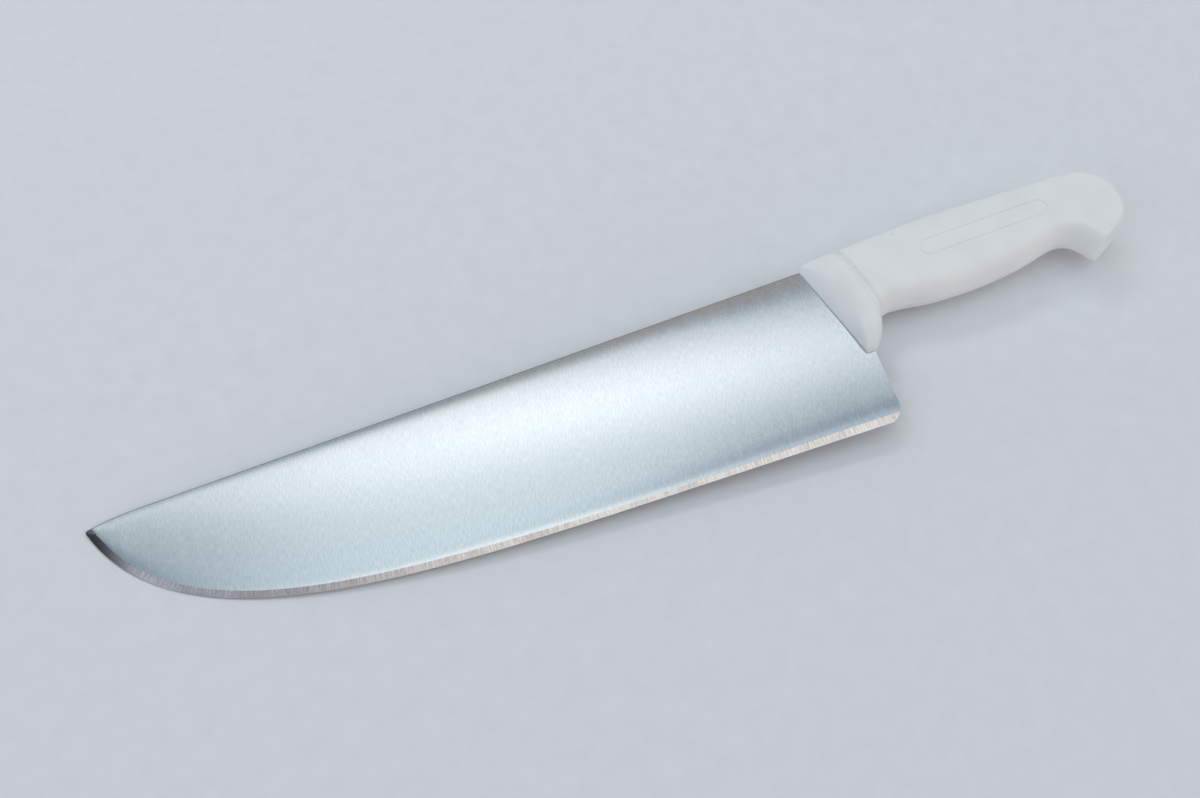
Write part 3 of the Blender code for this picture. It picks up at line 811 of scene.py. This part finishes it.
def honed_steel():
    """The same steel on the bevel, ground on a coarse wheel and honed: matt, with marks across the edge."""
    looks = bpy.context.scene.knife_blade
    material, tree = new_material("honed_bevel")
    lay = add(tree, "ShaderNodeUVMap", {}, uv_map="lay")
    scale = (1 / looks.hone_spacing, 1 / (looks.hone_spacing * HONE_STRETCH), 0.0)
    place = add(tree, "ShaderNodeMapping", {"Vector": lay.outputs[0], "Scale": scale}).outputs[0]
    marks = add(tree, NOISE, {"Vector": place, "Scale": 1.0, "Detail": 2.0}).outputs["Fac"]
    # The wheel bit unevenly, so the bevel is patchy every 15 mm or so.
    inputs = {"Vector": lay.outputs[0], "Scale": 1 / WHEEL_PATCH, "Detail": 1.0}
    patches = add(tree, NOISE, inputs).outputs["Fac"]
    both = add(tree, MATH, {0: patches, 1: PATCH_SHARE, 2: marks}, operation="MULTIPLY_ADD").outputs[0]
    level = add(tree, RANGE, {"Value": both, "From Min": 0.62, "From Max": 0.98}).outputs[0]
    shades = {FACTOR: level, FIRST: looks.hone_dark, SECOND: looks.hone_light}
    colour = add(tree, MIX, shades, data_type="RGBA").outputs[RESULT]
    # The steel is a darker brown-grey near the tip.
    colour = tip_darken(tree, colour, *BEVEL_DARKEN)
    return ground_surface(material, colour, 0.2, 0.8, marks, looks.line_depth * 2)


def trimmed_steel():
    """The spine and the back of the heel: cut by a press, then dressed on a wheel, so grey and uneven."""
    looks = bpy.context.scene.knife_blade
    material, tree = new_material("dressed_steel_edge")
    place = add(tree, COORDINATES, {}).outputs["Object"]
    # Marks of the dressing wheel, 0.4 mm apart.
    marks = add(tree, NOISE, {"Vector": place, "Scale": 2500.0, "Detail": 3.0}).outputs["Fac"]
    shades = {FACTOR: marks, FIRST: looks.edge_dark, SECOND: looks.edge_light}
    colour = add(tree, MIX, shades, data_type="RGBA").outputs[RESULT]
    bump = add(tree, BUMP, {"Height": marks, "Distance": looks.line_depth * 3}).outputs[0]
    surface = {"Base Color": colour, "Metallic": 1.0, "Roughness": 0.42, "Normal": bump}
    return finish_material(material, surface)


def white_plastic():
    """Polypropylene filled white, injection moulded in a lightly blasted tool.

    That gives a milky, satin surface: a little light passes under it, the grain breaks up every
    highlight, and the wall sinks by hundredths of a millimetre as it cools.
    """
    looks = bpy.context.scene.knife_handle
    material, tree = new_material("white_polypropylene")
    place = add(tree, COORDINATES, {}).outputs["Object"]
    grain = add(tree, NOISE, {"Vector": place, "Scale": 1 / looks.grain, "Detail": 2.0}).outputs["Fac"]
    sink = add(tree, NOISE, {"Vector": place, "Scale": 1 / looks.sink, "Detail": 1.0}).outputs["Fac"]
    bump = add(tree, BUMP, {"Height": grain, "Distance": looks.grain * GRAIN_DEPTH}).outputs[0]
    bump = add(tree, BUMP, {"Height": sink, "Distance": looks.sink * SINK_DEPTH, "Normal": bump})
    # Specks of dirt about 0.3 mm across, a few centimetres apart, and fainter smears between them.
    inputs = {"Vector": place, "Scale": 1 / looks.speck_spacing}
    cells = add(tree, "ShaderNodeTexVoronoi", inputs).outputs["Distance"]
    warp = add(tree, NOISE, {"Vector": place, "Scale": 900.0, "Detail": 1.0}).outputs["Fac"]
    reach = add(tree, MATH, {0: warp, 1: 0.035}, operation="MULTIPLY").outputs[0]
    inputs = {"Value": cells, "From Min": reach, "From Max": 0.03, "To Min": 1.0, "To Max": 0.0}
    speck = add(tree, RANGE, inputs).outputs[0]
    smear = add(tree, RANGE, {"Value": sink, "From Min": 0.35, "From Max": 0.75}).outputs[0]
    shades = {FACTOR: smear, FIRST: looks.plastic, SECOND: looks.plastic_worn}
    body = add(tree, MIX, shades, data_type="RGBA").outputs[RESULT]
    # Painted shade in the corner behind the rim: a faint, uneven dark line, broken into patches.
    corner = add(tree, "ShaderNodeAttribute", {}, attribute_name="rim_shade").outputs["Fac"]
    inputs = {"Vector": place, "Scale": 1 / looks.rim_shade_patch, "Detail": 3.0}
    patches = add(tree, NOISE, inputs).outputs["Fac"]
    inputs = {"Value": patches, "From Min": 0.35, "From Max": 0.75, "To Min": 0.1, "To Max": 0.3}
    patches = add(tree, RANGE, inputs).outputs[0]
    rim_shade = add(tree, MATH, {0: corner, 1: patches}, operation="MULTIPLY").outputs[0]
    # The painted shade behind the rim and the dirt specks, together.
    rim_shade_and_specks = add(tree, MATH, {0: rim_shade, 1: speck}, operation="MAXIMUM").outputs[0]
    colour = add(tree, MIX, {FACTOR: rim_shade_and_specks, FIRST: body, SECOND: looks.speck}, data_type="RGBA")
    surface = {
        "Base Color": colour.outputs[RESULT],
        "Roughness": 0.46,
        "IOR": 1.49,
        "Subsurface Weight": 0.12,
        "Subsurface Radius": (1.0, 0.9, 0.8),
        "Subsurface Scale": 0.0015,
        "Normal": bump.outputs[0],
    }
    return finish_material(material, surface)


def paper():
    """Pale matt backdrop paper: one plain colour, with a faint mottle of its fibres."""
    looks = bpy.context.scene.knife_stage
    material, tree = new_material("backdrop_paper")
    place = add(tree, COORDINATES, {}).outputs["Object"]
    # Clumps of fibres are about 9 mm across, with finer ones in them.
    fibres = add(tree, NOISE, {"Vector": place, "Scale": 110.0, "Detail": 5.0}).outputs["Fac"]
    shades = {FACTOR: fibres, FIRST: looks.floor_dark, SECOND: looks.floor_light}
    colour = add(tree, MIX, shades, data_type="RGBA").outputs[RESULT]
    return finish_material(material, {"Base Color": colour, "Roughness": 0.9, "Specular IOR Level": 0.2})


def soft_panel(tree, across, along, colour, level, centre, half, soft, turn):
    """Light of one soft panel overhead, for a direction given where it meets a ceiling 1 m up."""
    turn = math.radians(turn)
    axes = ((math.cos(turn), math.sin(turn)), (-math.sin(turn), math.cos(turn)))
    share = level
    for axis, reach, fade in zip(axes, half, soft):
        middle = centre[0] * axis[0] + centre[1] * axis[1]
        offset = add(tree, MATH, {0: along, 1: axis[1], 2: -middle}, operation="MULTIPLY_ADD").outputs[0]
        offset = add(tree, MATH, {0: across, 1: axis[0], 2: offset}, operation="MULTIPLY_ADD").outputs[0]
        offset = add(tree, MATH, {0: offset}, operation="ABSOLUTE").outputs[0]
        edge = soft_edge(tree, offset, reach, fade)
        share = add(tree, MATH, {0: edge, 1: share}, operation="MULTIPLY").outputs[0]
    return add(tree, VECTOR_MATH, {0: linear(colour)[:3], "Scale": share}, operation="SCALE").outputs[0]


# Soft panels overhead: colour, level, centre, half sizes, the fade at their edges, and turn. Places and
# sizes are on a ceiling 1 m above the knife, in metres.
PANELS = (
    ("#FFF6ED", 2.42, (0.149, 0.387), (0.230, 0.030), (0.40, 0.012), -14.5),
    ("#FEFFFA", 0.87, (0.018, 0.305), (0.144, 0.082), (0.03, 0.010), -22.9),
    ("#FFEDDF", 1.25, (-0.035, 0.247), (0.237, 0.010), (0.035, 0.010), -6.5),
    ("#D8EAFF", 2.50, (-0.355, 0.165), (0.028, 0.050), (0.030, 0.030), 0.0),
)

# The rest of the ceiling, in the same metres: each edge, and half the width over which it fades.
OVERHEAD = (0.10, 0.05)  # straight overhead ends here
SIDE = (-1.1, 0.6)  # the dim near side of the room starts here
ROOM = (0.217, 0.038)  # the near half of the room ends here
WALL_ALONG = (0.445, 0.025)  # the wall starts here
WALL_ACROSS = (0.06, 0.10)  # and runs from here towards the butt
GAP_CENTRE = -0.325  # dim stretch beyond the tip
GAP = (0.25, 0.06)  # half its length
BACKDROP = (0.26, 0.08)  # sine of the backdrop's height, 15 degrees
LOWEST = 0.05  # lower directions than this see the ceiling as if they rose this much
STUDIO_LEAN = 1.4  # degrees between the ceiling and the level floor


def studio_light():
    """A plain pale room above the floor, with soft panels overhead."""
    looks = bpy.context.scene.knife_stage
    world = bpy.data.worlds.new("studio")
    world.use_nodes = True
    tree = world.node_tree
    tree.nodes.clear()
    direction = add(tree, COORDINATES, {}).outputs["Generated"]
    level = add(tree, "ShaderNodeSeparateXYZ", {0: direction}).outputs[2]
    lean = (math.radians(STUDIO_LEAN), 0.0, 0.0)
    turned = add(tree, "ShaderNodeMapping", {"Vector": direction, "Rotation": lean})
    split = add(tree, "ShaderNodeSeparateXYZ", {0: turned.outputs[0]})
    up = add(tree, MATH, {0: split.outputs[2], 1: LOWEST}, operation="MAXIMUM").outputs[0]
    across = add(tree, MATH, {0: split.outputs[0], 1: up}, operation="DIVIDE").outputs[0]
    along = add(tree, MATH, {0: split.outputs[1], 1: up}, operation="DIVIDE").outputs[0]
    overhead = soft_edge(tree, along, *OVERHEAD)
    lights = {FACTOR: overhead, FIRST: looks.near_light, SECOND: looks.overhead_light}
    light = add(tree, MIX, lights, data_type="RGBA").outputs[RESULT]
    # A dim stretch of ceiling beyond the tip.
    gap = add(tree, MATH, {0: across, 1: GAP_CENTRE}, operation="SUBTRACT").outputs[0]
    gap = add(tree, MATH, {0: gap}, operation="ABSOLUTE").outputs[0]
    gap = soft_edge(tree, gap, *GAP)
    light = add(tree, VECTOR_MATH, {0: light, "Scale": looks.near_level}, operation="SCALE").outputs[0]
    # The camera's side of the room is dim and warm below the panels.
    side = soft_edge(tree, along, *SIDE)
    for share, colour in ((side, scaled(looks.side_light, looks.side_level)), (gap, looks.gap_light)):
        lights = {FACTOR: share, FIRST: light, SECOND: colour}
        light = add(tree, MIX, lights, data_type="RGBA").outputs[RESULT]
    near = soft_edge(tree, along, *ROOM)
    # The far end is bluish window light, but for a wall on the handle's side.
    past = soft_edge(tree, along, *WALL_ALONG)
    beside = soft_edge(tree, across, *WALL_ACROSS)
    open_share = add(tree, MATH, {0: past, 1: beside}, operation="MAXIMUM").outputs[0]
    wall = scaled(looks.wall_light, looks.wall_level)
    lights = {FACTOR: open_share, FIRST: wall, SECOND: scaled(looks.far_light, looks.far_level)}
    far = add(tree, MIX, lights, data_type="RGBA").outputs[RESULT]
    light = add(tree, MIX, {FACTOR: near, FIRST: far, SECOND: light}, data_type="RGBA").outputs[RESULT]
    for panel in PANELS:
        glow = soft_panel(tree, across, along, *panel)
        light = add(tree, VECTOR_MATH, {0: light, 1: glow}, operation="ADD").outputs[0]
    # The backdrop rises beyond the floor in the same pale colour.
    backdrop = soft_edge(tree, level, *BACKDROP)
    lights = {FACTOR: backdrop, FIRST: light, SECOND: looks.floor_light}
    light = add(tree, MIX, lights, data_type="RGBA").outputs[RESULT]
    shader = add(tree, "ShaderNodeBackground", {"Color": light})
    add(tree, "ShaderNodeOutputWorld", {"Surface": shader.outputs[0]})
    bpy.context.scene.world = world


def key_light():
    """A wide lamp behind the knife and above it, which throws the soft shadow towards the camera."""
    looks = bpy.context.scene.knife_stage
    lamp = bpy.data.lights.new("key", "AREA")
    lamp.shape = "RECTANGLE"
    lamp.size = looks.key_width
    lamp.size_y = looks.key_height
    lamp.energy = looks.key_power
    lamp.color = looks.key_light[:3]
    thing = new_object("key", lamp)
    place = Vector(looks.key_place)
    thing.location = place
    thing.rotation_mode = "QUATERNION"
    thing.rotation_quaternion = place.to_track_quat("Z", "Y")


def photo_camera():
    """The camera at the photograph's angle."""
    data = bpy.data.cameras.new("camera")
    data.lens = LENS
    camera = new_object("camera", data)
    aim = Matrix.Rotation(math.radians(-CAMERA_AZIMUTH), 4, "Z")
    aim = aim @ Matrix.Rotation(math.radians(90.0 - CAMERA_ELEVATION), 4, "X")
    camera.matrix_world = RESTING @ Matrix.Translation(CAMERA_PLACE) @ aim
    bpy.context.scene.camera = camera


def colour_setting(name, description, hex_colour):
    """A colour among the settings of a piece."""
    return FloatVectorProperty(
        name=name, description=description, default=linear(hex_colour), size=4, subtype="COLOR"
    )


def length_setting(name, description, default, precision=2):
    """A length among the settings of a piece, in metres."""
    return FloatProperty(
        name=name, description=description, default=default, unit="LENGTH", precision=precision
    )


def level_setting(name, description, default):
    """A brightness among the settings of the stage."""
    return FloatProperty(name=name, description=description, default=default, min=0.0)


class KnifeBladeSettings(bpy.types.PropertyGroup):
    """What can be changed on the blade."""

    line_spacing: length_setting("Line spacing", "Grinding lines as drawn", 0.00045, 5)
    line_lean: FloatProperty(
        name="Line lean", description="Lean of the lines", default=math.radians(-9.0), unit="ROTATION"
    )
    line_depth: length_setting("Line depth", "Depth of the grinding lines", 0.0000004, 6)
    hone_spacing: length_setting("Hone spacing", "Marks on the bevel", 0.0005, 5)
    dark_line: colour_setting("Dark line", "Darker grinding lines", "#BFC9D0")
    light_line: colour_setting("Light line", "Lighter grinding lines", "#C9D3DA")
    hone_dark: colour_setting("Hone dark", "Darker marks on the bevel", "#C9BDB5")
    hone_light: colour_setting("Hone light", "Lighter marks on the bevel", "#E9DFD8")
    # Darker brown-grey of the steel near the tip.
    tip_dark: colour_setting("Burnt", "The bevel at the tip", "#5C5856")
    edge_dark: colour_setting("Edge dark", "Darker marks on the spine", "#55575A")
    edge_light: colour_setting("Edge light", "Lighter marks on the spine", "#7C7F82")


class KnifeHandleSettings(bpy.types.PropertyGroup):
    """What can be changed on the handle."""

    clearance: length_setting("Clearance", "Gap round the blade in the guard", 0.0001, 5)
    seam_width: length_setting("Seam width", "Width of the seam left by the mould", 0.0009, 5)
    seam_height: length_setting("Seam height", "Height of that seam", 0.0002, 5)
    groove_width: length_setting("Groove width", "Outline of the label field", 0.0005, 5)
    groove_depth: length_setting("Groove depth", "Depth of that outline", 0.0003, 5)
    grain: length_setting("Grain", "Size of the surface grain", 0.0005, 5)
    sink: length_setting("Sink marks", "Size of the shallow sink marks", 0.014, 4)
    speck_spacing: length_setting("Speck spacing", "Distance between specks of dirt", 0.012, 4)
    # Patches that break up the painted shade behind the rim.
    rim_shade_patch: length_setting("Grime patches", "Size of the patches of dirt", 0.0015, 4)
    plastic: colour_setting("Plastic", "Colour of the plastic", "#EEEFEF")
    plastic_worn: colour_setting("Worn plastic", "Its colour where hands have worn it", "#E9EAEA")
    # This colour paints both the dirt specks and the painted shade behind the rim.
    speck: colour_setting("Speck", "Specks of dirt", "#A9A9A8")


class KnifeStageSettings(bpy.types.PropertyGroup):
    """What can be changed in the studio."""

    near_level: level_setting("Near level", "Brightness of the room overhead", 1.14)
    far_level: level_setting("Far level", "Brightness of the room behind", 0.40)
    key_power: FloatProperty(
        name="Key power", description="Power of the key lamp", default=5.4, unit="POWER"
    )
    key_width: length_setting("Key width", "Width of the key lamp", 1.4)
    key_height: length_setting("Key height", "Height of the key lamp", 0.35)
    key_place: FloatVectorProperty(
        name="Key place", description="Where the key lamp hangs", default=(-0.10, 1.22, 1.62), subtype="XYZ"
    )
    floor_size: length_setting("Floor size", "Side of the floor", 8.0)
    key_light: colour_setting("Key light", "Colour of the key lamp", "#F8FDFF")
    overhead_light: colour_setting("Overhead light", "Colour of the room straight overhead", "#F5FCFF")
    near_light: colour_setting("Near light", "Colour of the room overhead", "#E6F3FF")
    side_light: colour_setting("Side light", "Colour of the near side", "#FFEBDD")
    side_level: level_setting("Side level", "Brightness of the near side", 0.5)
    wall_light: colour_setting("Wall light", "Colour of the wall", "#FFF0E6")
    wall_level: level_setting("Wall level", "Brightness of the wall", 0.455)
    gap_light: colour_setting("Gap light", "Colour of the dim gap beyond the tip", "#747E96")
    far_light: colour_setting("Far light", "Colour of the room behind", "#DDF1FF")
    floor_light: colour_setting("Floor", "Colour of the paper", "#E8EAED")
    floor_dark: colour_setting("Floor mottle", "Its darker fibres", "#DFE1E4")


class KNIFE_OT_blade(bpy.types.Operator):
    """Builds the ground blade with its tang"""

    bl_idname = "knife.blade"
    bl_label = "Ground blade"

    def execute(self, context):
        blade = draw_blade("ground_blade", 0.0)
        for material in (ground_steel(), honed_steel(), trimmed_steel()):
            blade.data.materials.append(material)
        finish_blade(blade)
        lay_down(blade)
        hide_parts("blade")
        return {"FINISHED"}


class KNIFE_OT_handle(bpy.types.Operator):
    """Builds the moulded handle: guard, grip and hook"""

    bl_idname = "knife.handle"
    bl_label = "Moulded handle"

    def execute(self, context):
        handle = draw_handle("moulded_handle")
        mark_rim_shade(handle)
        handle.data.materials.clear()
        handle.data.materials.append(white_plastic())
        handle.data.shade_smooth()
        handle.data.set_sharp_from_angle(angle=math.radians(SMOOTH_ANGLE))
        lay_down(handle)
        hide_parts("handle")
        return {"FINISHED"}


class KNIFE_OT_stage(bpy.types.Operator):
    """Builds the floor, the light and the camera"""

    bl_idname = "knife.stage"
    bl_label = "Studio"

    def execute(self, context):
        half = context.scene.knife_stage.floor_size / 2
        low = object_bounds()[0].z
        mesh = bpy.data.meshes.new("floor")
        corners = [(-half, -half, low), (half, -half, low), (half, half, low), (-half, half, low)]
        mesh.from_pydata(corners, [], [(0, 1, 2, 3)])
        mesh.materials.append(paper())
        new_object("floor", mesh)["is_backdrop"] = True
        studio_light()
        key_light()
        photo_camera()
        context.scene.view_settings.view_transform = "Standard"
        return {"FINISHED"}


class KNIFE_PT_sidebar(bpy.types.Panel):
    """Lists the pieces and what can be changed on them"""

    bl_idname = "KNIFE_PT_sidebar"
    bl_label = "Butcher knife"
    bl_space_type = "VIEW_3D"
    bl_region_type = "UI"
    bl_category = "Knife"

    def draw(self, context):
        for piece in ("blade", "handle", "stage"):
            box = self.layout.box()
            box.operator("knife." + piece)
            settings = getattr(context.scene, "knife_" + piece)
            for name in settings.__annotations__:
                box.prop(settings, name)


CLASSES = (
    KnifeBladeSettings,
    KnifeHandleSettings,
    KnifeStageSettings,
    KNIFE_OT_blade,
    KNIFE_OT_handle,
    KNIFE_OT_stage,
    KNIFE_PT_sidebar,
)


def register():
    """Makes the classes and the settings known."""
    for item in CLASSES:
        bpy.utils.register_class(item)
    bpy.types.Scene.knife_blade = PointerProperty(type=KnifeBladeSettings)
    bpy.types.Scene.knife_handle = PointerProperty(type=KnifeHandleSettings)
    bpy.types.Scene.knife_stage = PointerProperty(type=KnifeStageSettings)


def unregister():
    """Takes them back."""
    del bpy.types.Scene.knife_blade
    del bpy.types.Scene.knife_handle
    del bpy.types.Scene.knife_stage
    for item in reversed(CLASSES):
        bpy.utils.unregister_class(item)


def main():
    """Builds each piece, then the stage."""
    register()
    bpy.ops.knife.blade()
    bpy.ops.knife.handle()
    bpy.ops.knife.stage()


if __name__ == "__main__":
    main()
